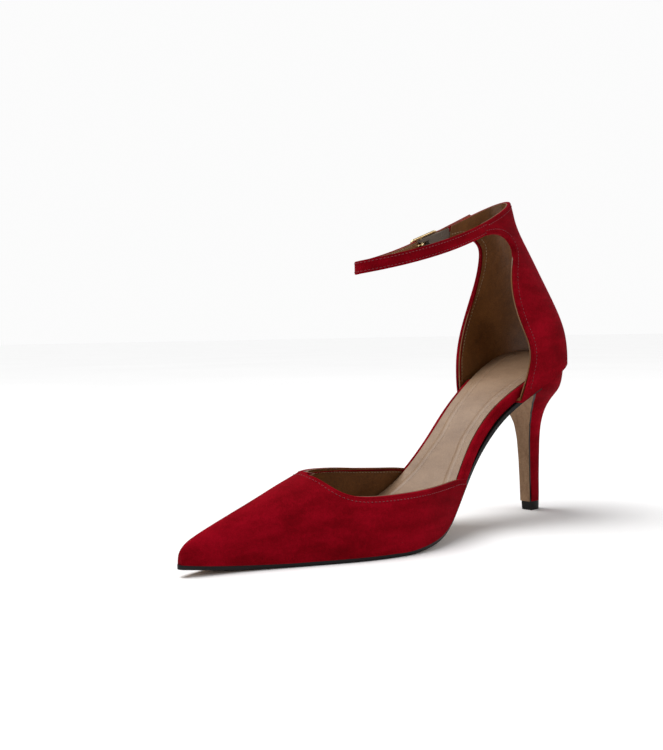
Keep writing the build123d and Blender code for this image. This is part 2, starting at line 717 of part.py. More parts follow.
def frame_shape(grow):
    """Buckle frame with its middle bar, grown all over to leave room where other pieces pass it."""
    thickness = FRAME_BAR_T + 2 * grow
    with BuildPart() as shape:
        with BuildSketch(buckle_plane.offset(-thickness / 2)):
            with Locations((FRAME_MIDDLE, 0)):
                RectangleRounded(FRAME_LENGTH + 2 * grow, 2 * (FRAME_HALF_HEIGHT + grow), 1.2)
                RectangleRounded(REAR_BAR - FRONT_BAR - FRAME_BAR_T - 2 * grow, 2 * (WINDOW_HALF - grow), 0.6,
                                 mode=Mode.SUBTRACT)
        extrude(amount=thickness)
        with BuildSketch(prong_plane.offset(-WINDOW_HALF - 0.2)):
            Circle(BAR_R + grow)
        extrude(amount=2 * WINDOW_HALF + 0.4)
    return shape.part


with BuildPart() as buckle_frame:
    add(frame_shape(0))
buckle_frame.part.label = "buckle_frame"
export_step(buckle_frame.part, "parts/buckle_frame.step")

PRONG_WIDTH = 1.4
PRONG_CLEAR = 0.06
PRONG_RING_R = 1.35


def prong_outline(grow):
    """Side view of the prong: an eye round the bar, a rise through the strap and a tip on the front bar."""
    with BuildSketch(prong_plane) as outline:
        Circle(PRONG_RING_R + grow)
        with BuildLine():
            Polyline((0.0, -0.55 + grow), (-2.0, -0.5 + grow), (-3.7, -2.05 + grow),
                     (FRONT_BAR - 0.9 - grow, -0.78 + grow), (FRONT_BAR - 0.9 - grow, -1.45 - grow),
                     (-3.9 - grow, -2.9 - grow), (-1.3, -1.25 - grow), (0.0, -1.3 - grow), (0.0, -0.55 + grow))
        make_face()
    return outline.sketch


with BuildPart() as buckle_prong:
    add(prong_outline(0))
    extrude(amount=PRONG_WIDTH / 2, both=True)
    with BuildSketch(prong_plane):
        Circle(BAR_R + PRONG_CLEAR)
    extrude(amount=3, both=True, mode=Mode.SUBTRACT)
buckle_prong.part.label = "buckle_prong"
export_step(buckle_prong.part, "parts/buckle_prong.step")

# The part of the strap that the prong passes through, with room round it.
with BuildPart() as prong_room:
    add(prong_outline(0.3))
    extrude(amount=PRONG_WIDTH / 2 + 0.3, both=True)

# Elastic that loops round the buckle's middle bar and is sewn between the plies of the lateral tab.
ELASTIC_TURN_R = BAR_R + 0.08 + ELASTIC_T
ELASTIC_JOIN = (11.5, 3.35)
ELASTIC_END = (20.0, 4.25)
with BuildSketch(prong_plane) as elastic_outline:
    Circle(ELASTIC_TURN_R)
    with Locations(ELASTIC_JOIN):
        Circle(ELASTIC_T)
    make_hull()
with BuildSketch(prong_plane) as elastic_hollow:
    Circle(BAR_R + 0.08)
    with Locations((ELASTIC_JOIN[0] - 1.4, ELASTIC_JOIN[1] - 0.4)):
        Circle(0.08)
    make_hull()
with BuildPart() as elastic_loop:
    extrude(elastic_outline.sketch, amount=ELASTIC_H / 2, both=True)
    extrude(elastic_hollow.sketch, amount=ELASTIC_H, both=True, mode=Mode.SUBTRACT)
    with BuildSketch(prong_plane):
        with BuildLine():
            Polyline((ELASTIC_JOIN[0], ELASTIC_JOIN[1] - 0.5), (ELASTIC_JOIN[0], ELASTIC_JOIN[1] + 0.4),
                     (ELASTIC_END[0], ELASTIC_END[1] + 0.38), (ELASTIC_END[0], ELASTIC_END[1] - 0.38),
                     (ELASTIC_JOIN[0], ELASTIC_JOIN[1] - 0.5))
        make_face()
    extrude(amount=ELASTIC_H / 2, both=True)
    with Locations(prong_plane):
        Box(7, 8, PRONG_WIDTH + 0.8, mode=Mode.SUBTRACT)
    add(frame_shape(0.1), mode=Mode.SUBTRACT)
elastic_loop.part.label = "elastic_loop"
export_step(elastic_loop.part, "parts/elastic_loop.step")

HOLE_R = 0.85
HOLE_STATIONS = [63.5, 57.5, 99, 106]
STRAP_PLIES = {"ankle_strap": (0.06, STRAP_T / 2),
               "strap_tape": (-0.24, 0.05),
               "strap_lining": (-STRAP_T / 2, -0.25)}
strap_slab = ring_band(STRAP_H, 0, 38, 150)
frame_room = frame_shape(0.12)
with BuildSketch(prong_plane) as elastic_room_outline:
    Circle(ELASTIC_TURN_R + 0.12)
    with Locations(ELASTIC_JOIN):
        Circle(ELASTIC_T + 0.12)
    make_hull()
with BuildPart() as elastic_room:
    extrude(elastic_room_outline.sketch, amount=ELASTIC_H / 2 + 0.12, both=True)
for ply_name, (low, high) in STRAP_PLIES.items():
    with BuildPart() as strap_ply:
        extrude(ribbon(low, high), amount=220)
        add(strap_slab, mode=Mode.INTERSECT)
        add(prong_room.part, mode=Mode.SUBTRACT)
        add(frame_room, mode=Mode.SUBTRACT)
        add(elastic_room.part, mode=Mode.SUBTRACT)
        for station in HOLE_STATIONS:
            hole_height = ring_top(station) - RING_TILT * 19.5 - STRAP_H / 2
            with Locations(Plane(origin=(-18, at(station), hole_height), x_dir=(0, 1, 0), z_dir=(-1, 0, 0))):
                Cylinder(HOLE_R, 14, mode=Mode.SUBTRACT)
    strap_ply.part.label = ply_name
    export_step(strap_ply.part, f"parts/{ply_name}.step")
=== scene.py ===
"""A suede high heel pump with an ankle strap, dressed around its CAD frame.

Everything is in metres. The toe points along -Y, the inner side of the foot is +X and +Z is up.
Sizes written in millimetres are fields of the classes, and are turned into metres where they are used.
"""

import logging
import math
from dataclasses import dataclass, field
from enum import Enum

import bmesh
import bpy
from mathutils import Matrix, Vector
from mathutils.bvhtree import BVHTree


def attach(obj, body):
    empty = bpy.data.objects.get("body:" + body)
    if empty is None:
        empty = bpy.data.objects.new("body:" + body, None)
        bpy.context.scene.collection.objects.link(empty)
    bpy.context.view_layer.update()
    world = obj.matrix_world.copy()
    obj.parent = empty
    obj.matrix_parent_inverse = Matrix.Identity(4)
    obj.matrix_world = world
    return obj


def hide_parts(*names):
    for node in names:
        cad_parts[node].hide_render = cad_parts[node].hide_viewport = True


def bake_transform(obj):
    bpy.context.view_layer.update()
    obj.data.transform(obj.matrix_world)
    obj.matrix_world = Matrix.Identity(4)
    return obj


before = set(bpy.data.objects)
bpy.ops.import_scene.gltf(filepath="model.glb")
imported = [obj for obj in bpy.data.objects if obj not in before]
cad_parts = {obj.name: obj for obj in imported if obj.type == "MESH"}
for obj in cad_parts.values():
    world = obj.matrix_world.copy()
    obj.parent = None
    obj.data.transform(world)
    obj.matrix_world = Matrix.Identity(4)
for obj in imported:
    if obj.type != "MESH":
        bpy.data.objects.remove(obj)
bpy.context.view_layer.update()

LOG = logging.getLogger("pump")
MM = 0.001
HALF_LENGTH = 124.0
UP = Vector((0, 0, 1))

Colour = tuple[float, float, float]
Pair = tuple[float, float]
Laid = list[tuple[Vector, Vector]]


class Body(Enum):
    """The CAD bodies that pieces ride on."""

    SHOE = "shoe"
    STRAP = "strap"
    BUCKLE = "buckle"
    PRONG = "prong"


class Slot(Enum):
    """The record's material slots."""

    SOLE = "leather_sole"
    CORK = "cork"
    STEEL = "steel"
    BOARD = "board"
    SUEDE = "suede"
    LINING = "lining_leather"
    SOCK = "sock_leather"
    FOAM = "foam"
    STIFFENER = "stiffener"
    ABS = "abs"
    TPU = "tpu"
    GOLD = "gold"
    ELASTIC = "elastic"


class Flank(Enum):
    """The two sides of the shoe, as the sign of X."""

    MEDIAL = 1
    LATERAL = -1


def spot(x: float, station: float, height: float) -> Vector:
    """Turn millimetres (across, forward from the heel's back, up) into a place in metres."""
    return Vector((x, HALF_LENGTH - station, height)) * MM


def eased(points: list[Vector], steps: int = 8) -> list[Vector]:
    """Run a smooth curve through points.

    Args:
        points: The points that the curve passes.
        steps: How many parts each span is cut into.

    Returns:
        The points along the curve, both ends included.
    """
    curve = []
    padded = [2 * points[0] - points[1], *points, 2 * points[-1] - points[-2]]
    for a, b, c, d in zip(padded, padded[1:], padded[2:], padded[3:]):
        for k in range(steps):
            t = k / steps
            curve.append(
                0.5 * (2 * b + (c - a) * t + (2 * a - 5 * b + 4 * c - d) * t**2 + (3 * b - a - 3 * c + d) * t**3)
            )
    curve.append(points[-1].copy())
    return curve


def evenly(line: Laid, pitch: float) -> Laid:
    """Space a laid line out evenly.

    Args:
        line: Places with the surface's normal at each.
        pitch: The distance between the new places, in metres.

    Returns:
        New places and normals, pitch apart.
    """
    spaced = []
    carry = 0.0
    for (a, na), (b, nb) in zip(line, line[1:]):
        span = (b - a).length
        while carry < span:
            t = carry / span
            spaced.append((a.lerp(b, t), na.lerp(nb, t).normalized()))
            carry += pitch
        carry -= span
    return spaced


# ---- Finishes ----


class Recipe:
    """Lays out the nodes of one material."""

    def __init__(self, name: str) -> None:
        """Start a material that has one Principled shader and object coordinates."""
        self.material = bpy.data.materials.new(name)
        self.material.use_nodes = True
        self.tree = self.material.node_tree
        self.tree.nodes.clear()
        self.output = self.add("ShaderNodeOutputMaterial")
        self.shader = self.add("ShaderNodeBsdfPrincipled")
        self.tree.links.new(self.shader.outputs["BSDF"], self.output.inputs["Surface"])
        self.coords = self.add("ShaderNodeTexCoord").outputs["Object"]

    def add(self, kind: str, **inputs: object) -> bpy.types.Node:
        """Add a node and set its sockets; a socket's spaces are written as underscores.

        Args:
            kind: The node's type.
            inputs: A number, a colour or another node's output for each socket.

        Returns:
            The new node.
        """
        node = self.tree.nodes.new(kind)
        for name, value in inputs.items():
            socket = node.inputs[name.replace("_", " ")]
            if isinstance(value, bpy.types.NodeSocket):
                self.tree.links.new(value, socket)
            else:
                socket.default_value = value
        return node

    def set(self, **inputs: object) -> None:
        """Set or link sockets of the shader itself."""
        for name, value in inputs.items():
            socket = self.shader.inputs[name.replace("_", " ")]
            if isinstance(value, bpy.types.NodeSocket):
                self.tree.links.new(value, socket)
            else:
                socket.default_value = value

    def stretched(self, scale: tuple[float, float, float]) -> bpy.types.NodeSocket:
        """Object coordinates scaled apart along the three axes."""
        return self.add("ShaderNodeMapping", Vector=self.coords, Scale=scale).outputs["Vector"]

    def noise(
        self, scale: float, detail: float = 2.0, coords: bpy.types.NodeSocket | None = None
    ) -> bpy.types.NodeSocket:
        """Noise of a scale, read at object coordinates unless others are given."""
        node = self.add("ShaderNodeTexNoise", Vector=coords or self.coords, Scale=scale, Detail=detail)
        return node.outputs["Fac"]

    def sum(self, *parts: tuple[bpy.types.NodeSocket, float]) -> bpy.types.NodeSocket:
        """Add sockets up, each times its share."""
        total = None
        for source, share in parts:
            node = self.tree.nodes.new("ShaderNodeMath")
            node.operation = "MULTIPLY_ADD"
            self.tree.links.new(source, node.inputs[0])
            node.inputs[1].default_value = share
            if total is None:
                node.inputs[2].default_value = 0.0
            else:
                self.tree.links.new(total, node.inputs[2])
            total = node.outputs[0]
        return total

    def ramp(self, source: bpy.types.NodeSocket, *stops: tuple[float, Colour]) -> bpy.types.NodeSocket:
        """Turn a value into a colour.

        Args:
            source: The value, from 0 to 1.
            stops: Each stop's place and colour.

        Returns:
            The colour's socket.
        """
        node = self.add("ShaderNodeValToRGB", Fac=source)
        ladder = node.color_ramp.elements
        while len(ladder) < len(stops):
            ladder.new(0.5)
        for element, (place, colour) in zip(ladder, stops):
            element.position = place
            element.color = (*colour, 1.0)
        return node.outputs["Color"]

    def relief(self, *layers: tuple[bpy.types.NodeSocket, float, float]) -> None:
        """Stack bumps on the shader, each given as height, strength and depth in metres."""
        normal = None
        for height, strength, depth in layers:
            node = self.add("ShaderNodeBump", Height=height, Strength=strength, Distance=depth)
            if normal is not None:
                self.tree.links.new(normal, node.inputs["Normal"])
            normal = node.outputs["Normal"]
        self.tree.links.new(normal, self.shader.inputs["Normal"])


@dataclass(frozen=True)
class Suede:
    """Brushed suede: a short nap that lies in patches, over fine fibres."""

    name: str = "suede"
    deep: Colour = (0.075, 0.0004, 0.002)
    middle: Colour = (0.17, 0.0008, 0.0045)
    light: Colour = (0.31, 0.0022, 0.011)
    patch_scale: float = 30.0
    brush_scale: float = 130.0
    fibre_scale: float = 2300.0

    def material(self) -> bpy.types.Material:
        """Build the material.

        Returns:
            The material, its nodes wired.
        """
        recipe = Recipe(self.name)
        patches = recipe.noise(self.patch_scale, 4.0)
        brushed = recipe.noise(self.brush_scale, 3.0, recipe.stretched((1.0, 0.35, 1.6)))
        fibres = recipe.noise(self.fibre_scale, 3.0)
        pores = recipe.noise(self.fibre_scale / 4, 2.0)
        tone = recipe.sum((patches, 0.42), (brushed, 0.28), (fibres, 0.2), (pores, 0.12))
        recipe.set(
            Base_Color=recipe.ramp(tone, (0.33, self.deep), (0.5, self.middle), (0.68, self.light)),
            Roughness=0.95,
            Specular_IOR_Level=0.03,
            Sheen_Weight=0.08,
            Sheen_Roughness=0.38,
            Sheen_Tint=(1.0, 0.12, 0.2, 1.0),
        )
        recipe.relief((patches, 0.18, 0.0012), (pores, 0.3, 0.0003), (fibres, 0.55, 0.00018))
        return recipe.material


@dataclass(frozen=True)
class GrainLeather:
    """Smooth leather with a fine pebbled grain and soft creases."""

    name: str
    dark: Colour
    pale: Colour
    roughness: float = 0.5
    coat: float = 0.08
    grain_scale: float = 1500.0
    grain_depth: float = 0.00012

    def material(self) -> bpy.types.Material:
        """Build the material.

        Returns:
            The material, its nodes wired.
        """
        recipe = Recipe(self.name)
        cells = recipe.add("ShaderNodeTexVoronoi", Vector=recipe.coords, Scale=self.grain_scale)
        grain = cells.outputs["Distance"]
        cloud = recipe.noise(60.0, 4.0)
        crease = recipe.noise(320.0, 5.0, recipe.stretched((0.6, 1.5, 1.0)))
        tone = recipe.sum((cloud, 0.6), (crease, 0.25), (grain, 0.2))
        recipe.set(
            Base_Color=recipe.ramp(tone, (0.3, self.dark), (0.65, self.pale)),
            Roughness=self.roughness,
            Specular_IOR_Level=0.4,
            Coat_Weight=self.coat,
            Coat_Roughness=0.4,
        )
        recipe.relief((cloud, 0.2, 0.0008), (crease, 0.25, 0.0003), (grain, 0.5, self.grain_depth))
        return recipe.material


@dataclass(frozen=True)
class SoleLeather:
    """Outsole leather: buffed on its face, inked black and waxed on its edge."""

    name: str = "sole_leather"
    face_dark: Colour = (0.17, 0.095, 0.05)
    face_pale: Colour = (0.33, 0.2, 0.115)
    ink: Colour = (0.006, 0.005, 0.005)
    toe_y: float = -0.1

    def material(self) -> bpy.types.Material:
        """Build the material.

        Returns:
            The material, its nodes wired.
        """
        recipe = Recipe(self.name)
        fibre = recipe.noise(900.0, 5.0)
        cloud = recipe.noise(45.0, 4.0)
        scuffs = recipe.noise(160.0, 6.0, recipe.stretched((3.0, 0.4, 1.0)))
        tone = recipe.sum((fibre, 0.3), (cloud, 0.4), (scuffs, 0.35))
        face = recipe.ramp(tone, (0.35, self.face_dark), (0.66, self.face_pale))
        facing = recipe.add("ShaderNodeSeparateXYZ", Vector=recipe.add("ShaderNodeNewGeometry").outputs["Normal"])
        across = self.measure(recipe, "ABSOLUTE", facing.outputs["X"])
        along = self.measure(recipe, "ABSOLUTE", facing.outputs["Y"])
        place = recipe.add("ShaderNodeSeparateXYZ", Vector=recipe.coords).outputs["Y"]
        at_toe = self.measure(recipe, "LESS_THAN", place, self.toe_y)
        toe_edge = self.measure(recipe, "MULTIPLY", along, at_toe)
        ledge = self.measure(recipe, "MULTIPLY", facing.outputs["Z"], 2.0)
        edge = self.measure(recipe, "MAXIMUM", self.measure(recipe, "MAXIMUM", across, toe_edge), ledge)
        inked = recipe.ramp(edge, (0.55, (0, 0, 0)), (0.68, (1, 1, 1)))
        mixed = recipe.tree.nodes.new("ShaderNodeMix")
        mixed.data_type = "RGBA"
        recipe.tree.links.new(inked, mixed.inputs["Factor"])
        recipe.tree.links.new(face, mixed.inputs[6])
        mixed.inputs[7].default_value = (*self.ink, 1.0)
        shine = recipe.ramp(edge, (0.55, (0.62, 0.62, 0.62)), (0.68, (0.45, 0.45, 0.45)))
        recipe.set(Base_Color=mixed.outputs[2], Roughness=shine, Specular_IOR_Level=0.2)
        recipe.relief((cloud, 0.15, 0.0005), (fibre, 0.4, 0.0001))
        return recipe.material

    @staticmethod
    def measure(
        recipe: Recipe, operation: str, first: bpy.types.NodeSocket, second: bpy.types.NodeSocket | float = 0.0
    ) -> bpy.types.NodeSocket:
        """Put one or two values through a math operation.

        Args:
            recipe: The material being laid out.
            operation: The operation's name.
            first: The first value.
            second: The second value, a socket or a number.

        Returns:
            The result's socket.
        """
        node = recipe.tree.nodes.new("ShaderNodeMath")
        node.operation = operation
        recipe.tree.links.new(first, node.inputs[0])
        if isinstance(second, bpy.types.NodeSocket):
            recipe.tree.links.new(second, node.inputs[1])
        else:
            node.inputs[1].default_value = second
        return node.outputs[0]


@dataclass(frozen=True)
class Metal:
    """Polished or drawn metal with faint handling marks."""

    name: str
    dark: Colour
    pale: Colour
    roughness: float = 0.16

    def material(self) -> bpy.types.Material:
        """Build the material.

        Returns:
            The material, its nodes wired.
        """
        recipe = Recipe(self.name)
        haze = recipe.noise(380.0, 4.0)
        marks = recipe.noise(1400.0, 6.0, recipe.stretched((0.3, 2.0, 0.7)))
        polish = recipe.sum((haze, 0.12), (marks, 0.1))
        low = self.roughness
        gloss = recipe.ramp(polish, (0.05, (low, low, low)), (0.2, (low * 2, low * 2, low * 2)))
        recipe.set(
            Base_Color=recipe.ramp(haze, (0.35, self.dark), (0.65, self.pale)),
            Metallic=1.0,
            Roughness=gloss,
        )
        recipe.relief((marks, 0.12, 0.00003))
        return recipe.material


@dataclass(frozen=True)
class Weave:
    """Thread, tape, elastic or felt: fine ribs crossed by fibres."""

    name: str
    dark: Colour
    pale: Colour
    rib_scale: float = 900.0
    rib_axis: str = "Z"
    fibre_scale: float = 3000.0

    def material(self) -> bpy.types.Material:
        """Build the material.

        Returns:
            The material, its nodes wired.
        """
        recipe = Recipe(self.name)
        ribs = recipe.add("ShaderNodeTexWave", Vector=recipe.coords, Scale=self.rib_scale, Distortion=0.6)
        ribs.bands_direction = self.rib_axis
        fibres = recipe.noise(self.fibre_scale, 3.0)
        tone = recipe.sum((ribs.outputs["Fac"], 0.5), (fibres, 0.5))
        recipe.set(
            Base_Color=recipe.ramp(tone, (0.25, self.dark), (0.7, self.pale)),
            Roughness=0.85,
            Specular_IOR_Level=0.2,
            Sheen_Weight=0.2,
            Sheen_Roughness=0.5,
        )
        recipe.relief((ribs.outputs["Fac"], 0.6, 0.0002), (fibres, 0.4, 0.0001))
        return recipe.material


@dataclass(frozen=True)
class Moulded:
    """Moulded plastic, rubber or pressed board with a dull speckled skin."""

    name: str
    dark: Colour
    pale: Colour
    roughness: float = 0.55
    speck_scale: float = 700.0
    specular: float = 0.4

    def material(self) -> bpy.types.Material:
        """Build the material.

        Returns:
            The material, its nodes wired.
        """
        recipe = Recipe(self.name)
        specks = recipe.noise(self.speck_scale, 5.0)
        cloud = recipe.noise(90.0, 3.0)
        tone = recipe.sum((specks, 0.6), (cloud, 0.4))
        recipe.set(
            Base_Color=recipe.ramp(tone, (0.35, self.dark), (0.65, self.pale)),
            Roughness=self.roughness,
            Specular_IOR_Level=self.specular,
        )
        recipe.relief((specks, 0.3, 0.00012), (cloud, 0.1, 0.0004))
        return recipe.material


FINISHES = {
    Slot.SUEDE: Suede(),
    Slot.SOLE: SoleLeather(),
    Slot.LINING: GrainLeather("lining_leather", (0.08, 0.027, 0.006), (0.2, 0.08, 0.021), roughness=0.42),
    Slot.SOCK: GrainLeather("sock_leather", (0.185, 0.108, 0.06), (0.29, 0.182, 0.107), roughness=0.48),
    Slot.GOLD: Metal("pale_gold", (0.78, 0.55, 0.26), (0.92, 0.74, 0.44)),
    Slot.STEEL: Metal("steel", (0.42, 0.42, 0.44), (0.62, 0.62, 0.64), roughness=0.28),
    Slot.ELASTIC: Weave("ribbed_elastic", (0.055, 0.04, 0.03), (0.2, 0.15, 0.115), rib_scale=700.0, rib_axis="Y"),
    Slot.STIFFENER: Weave("stiffener_cloth", (0.5, 0.48, 0.42), (0.72, 0.7, 0.63)),
    Slot.FOAM: Moulded("latex_foam", (0.62, 0.58, 0.46), (0.8, 0.77, 0.66), roughness=0.8),
    Slot.CORK: Moulded("ground_cork", (0.2, 0.11, 0.05), (0.5, 0.34, 0.19), roughness=0.85),
    Slot.BOARD: Moulded("insole_board", (0.3, 0.22, 0.14), (0.46, 0.37, 0.27), roughness=0.8),
    Slot.ABS: Moulded("heel_plastic", (0.6, 0.56, 0.48), (0.7, 0.66, 0.58), roughness=0.4),
    Slot.TPU: Moulded("black_top_piece", (0.004, 0.004, 0.004), (0.009, 0.009, 0.009), roughness=0.5, specular=0.18),
}
THREAD = Weave("red_thread", (0.15, 0.004, 0.01), (0.30, 0.018, 0.034), rib_scale=2600.0, rib_axis="DIAGONAL")
DYED_CLOTH = Weave("dyed_interlining", (0.07, 0.006, 0.006), (0.14, 0.014, 0.014))
PALE_THREAD = Weave("beige_thread", (0.3, 0.19, 0.11), (0.55, 0.4, 0.27), rib_scale=2600.0, rib_axis="DIAGONAL")


@dataclass
class Wardrobe:
    """Makes each finish once and puts it on pieces and CAD nodes."""

    made: dict[str, bpy.types.Material] = field(default_factory=dict)

    def cloth(self, finish: object) -> bpy.types.Material:
        """The material of a finish, made the first time it is asked for."""
        if finish.name not in self.made:
            self.made[finish.name] = finish.material()
        return self.made[finish.name]

    def dress(self, piece: bpy.types.Object, slot: Slot, finish: object | None = None) -> bpy.types.Object:
        """Give a piece its finish, the record slot's own unless another is given.

        Args:
            piece: The piece or CAD node.
            slot: The record's slot.
            finish: Another finish than the slot's own, if it has one.

        Returns:
            The piece.
        """
        piece.data.materials.clear()
        piece.data.materials.append(self.cloth(finish or FINISHES[slot]))
        return piece


# ---- Making meshes ----


def become(mesh: bmesh.types.BMesh, name: str) -> bpy.types.Object:
    """Turn a bmesh into a smooth-shaded object in the scene.

    Args:
        mesh: The bmesh, which is freed.
        name: The piece's name.

    Returns:
        The new object, at the origin.
    """
    bmesh.ops.remove_doubles(mesh, verts=mesh.verts, dist=1e-7)
    bmesh.ops.recalc_face_normals(mesh, faces=mesh.faces)
    data = bpy.data.meshes.new(name)
    mesh.to_mesh(data)
    mesh.free()
    data.shade_smooth()
    piece = bpy.data.objects.new(name, data)
    bpy.context.scene.collection.objects.link(piece)
    return piece


def sweep(profile: list[Pair], frames: list[Matrix], closed: bool = False) -> bmesh.types.BMesh:
    """Carry a closed profile along a run of frames.

    Args:
        profile: The profile's points in each frame's XY plane.
        frames: Where the profile stands, one after another.
        closed: Whether the last frame joins the first.

    Returns:
        A closed bmesh.
    """
    mesh = bmesh.new()
    verts = [mesh.verts.new((x, y, 0)) for x, y in profile]
    first = [mesh.edges.new((a, b)) for a, b in zip(verts, verts[1:] + verts[:1])]
    bmesh.ops.transform(mesh, matrix=frames[0], verts=verts)
    ring = first
    for before, after in zip(frames, frames[1:]):
        made = bmesh.ops.extrude_edge_only(mesh, edges=ring)["geom"]
        fresh = {part for part in made if isinstance(part, bmesh.types.BMVert)}
        ring = [
            part
            for part in made
            if isinstance(part, bmesh.types.BMEdge) and part.verts[0] in fresh and part.verts[1] in fresh
        ]
        bmesh.ops.transform(mesh, matrix=after @ before.inverted(), verts=list(fresh))
    if closed:
        bmesh.ops.bridge_loops(mesh, edges=first + ring)
    else:
        bmesh.ops.contextual_create(mesh, geom=first)
        bmesh.ops.contextual_create(mesh, geom=ring)
    return mesh


def stance(place: Vector, along: Vector, outward: Vector) -> Matrix:
    """A frame whose Z runs along a path and whose X faces outward as nearly as it can."""
    z_axis = along.normalized()
    x_axis = (outward - z_axis * outward.dot(z_axis)).normalized()
    y_axis = z_axis.cross(x_axis)
    turn = Matrix((x_axis, y_axis, z_axis)).transposed().to_4x4()
    turn.translation = place
    return turn


def stances(line: Laid, closed: bool = False) -> list[Matrix]:
    """Frames along a laid line, with X along the surface's normal.

    Args:
        line: Places and normals along the line.
        closed: Whether the line returns to its start.

    Returns:
        One frame for each place.
    """
    frames = []
    count = len(line)
    for k, (place, normal) in enumerate(line):
        ahead = line[(k + 1) % count][0] if closed else line[min(k + 1, count - 1)][0]
        behind = line[k - 1][0] if closed or k else place
        frames.append(stance(place, ahead - behind, normal))
    return frames


def oval(width: float, height: float, sides: int = 10) -> list[Pair]:
    """Points of an oval profile; width is along the frame's X."""
    turns = [2 * math.pi * k / sides for k in range(sides)]
    return [(width / 2 * math.cos(a), height / 2 * math.sin(a)) for a in turns]


def slab(thickness: float, height: float, corner: float) -> list[Pair]:
    """Points of a flat profile with rounded edges.

    Args:
        thickness: Size along the frame's X.
        height: Size along the frame's Y.
        corner: Radius of each edge.

    Returns:
        The points in turn around the profile.
    """
    points = []
    for sx, sy, start in ((1, 1, 0), (-1, 1, 90), (-1, -1, 180), (1, -1, 270)):
        for step in (0, 30, 60, 90):
            turn = math.radians(start + step)
            points.append(
                (
                    sx * (thickness / 2 - corner) + corner * math.cos(turn),
                    sy * (height / 2 - corner) + corner * math.sin(turn),
                )
            )
    return points


def stitches(
    name: str, line: Laid, pitch: float = 1.9, length: float = 1.3, gauge: float = 0.4
) -> bpy.types.Object:
    """Lay a row of raised stitches along a line.

    Args:
        name: The piece's name.
        line: Places and normals along the seam.
        pitch: From one stitch to the next, in millimetres.
        length: Each stitch's length, in millimetres.
        gauge: The thread's width, in millimetres.

    Returns:
        The row as one piece.
    """
    mesh = bmesh.new()
    row = evenly(line, pitch * MM)
    for (place, normal), frame_here in zip(row, stances(row)):
        shape = Matrix.Diagonal((gauge / 2 * MM, gauge / 2 * MM, length / 2 * MM, 1.0))
        lifted = Matrix.Translation(normal * gauge * 0.2 * MM)
        bmesh.ops.create_uvsphere(mesh, u_segments=6, v_segments=4, radius=1.0, matrix=lifted @ frame_here @ shape)
    return become(mesh, name)


def skin(*nodes: str) -> BVHTree:
    """A search tree of one or more CAD nodes' surfaces."""
    joined = bmesh.new()
    for node in nodes:
        joined.from_mesh(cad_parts[node].data)
    tree = BVHTree.FromBMesh(joined)
    joined.free()
    return tree


@dataclass
class SideLine:
    """A line drawn in side view, to be laid on one side of a shell."""

    points: list[Pair]
    flank: Flank
    inward: int = 1
    reach: float = 90.0

    def drawn(self, offset: float) -> list[Vector]:
        """The line moved square to itself in side view.

        Args:
            offset: How far it moves into the piece, in millimetres.

        Returns:
            Places in the plane X = 0.
        """
        curve = eased([spot(0, s, z) for s, z in self.points])
        moved = []
        for k, place in enumerate(curve):
            along = curve[min(k + 1, len(curve) - 1)] - curve[max(k - 1, 0)]
            square = Vector((0, along.z, -along.y)).normalized()
            moved.append(place + square * offset * self.inward * MM)
        return moved

    def laid(self, tree: BVHTree, offset: float, inside: bool = False) -> Laid:
        """Lay the line on a shell by looking along X.

        Args:
            tree: The shell's surface.
            offset: How far the line moves into the piece, in millimetres.
            inside: Whether it lies on the inner face.

        Returns:
            The places that meet the shell, with outward normals.
        """
        line = []
        sign = self.flank.value
        for place in self.drawn(offset):
            start = Vector((0.0 if inside else sign * self.reach * MM, place.y, place.z))
            towards = Vector((sign if inside else -sign, 0, 0))
            hit, normal, _, _ = tree.ray_cast(start, towards)
            if hit is None or hit.x * sign < -2 * MM:
                continue
            if normal.dot(towards) > 0:
                normal = -normal
            line.append((hit, normal))
        return line


def bridged(first: Laid, second: Laid, tree: BVHTree, steps: int = 6) -> Laid:
    """Join two laid lines over the ridge between their ends.

    Args:
        first: The line that comes first.
        second: The line that goes on after it.
        tree: The shell's surface.
        steps: How many places lie in between.

    Returns:
        One laid line.
    """
    middle = []
    a, b = first[-1][0], second[0][0]
    for k in range(1, steps):
        place = a.lerp(b, k / steps)
        hit, normal, _, _ = tree.ray_cast(Vector((place.x, place.y, 0.2)), -UP)
        if hit is not None:
            middle.append((hit, normal if normal.z > 0 else -normal))
    return first + middle + second


def sunk(line: Laid, depth: float) -> Laid:
    """A laid line moved into the piece by a depth in millimetres."""
    return [(place - normal * depth * MM, normal) for place, normal in line]


def ring_top(station: float) -> float:
    """Height of the collar's and strap's top edge over the middle line, in millimetres."""
    forward = 91.5 - station
    return 149.2 + 0.334 * forward + 4.05 * (forward / 50) ** 2


RING_TILT = 0.081


# ---- Pieces ----


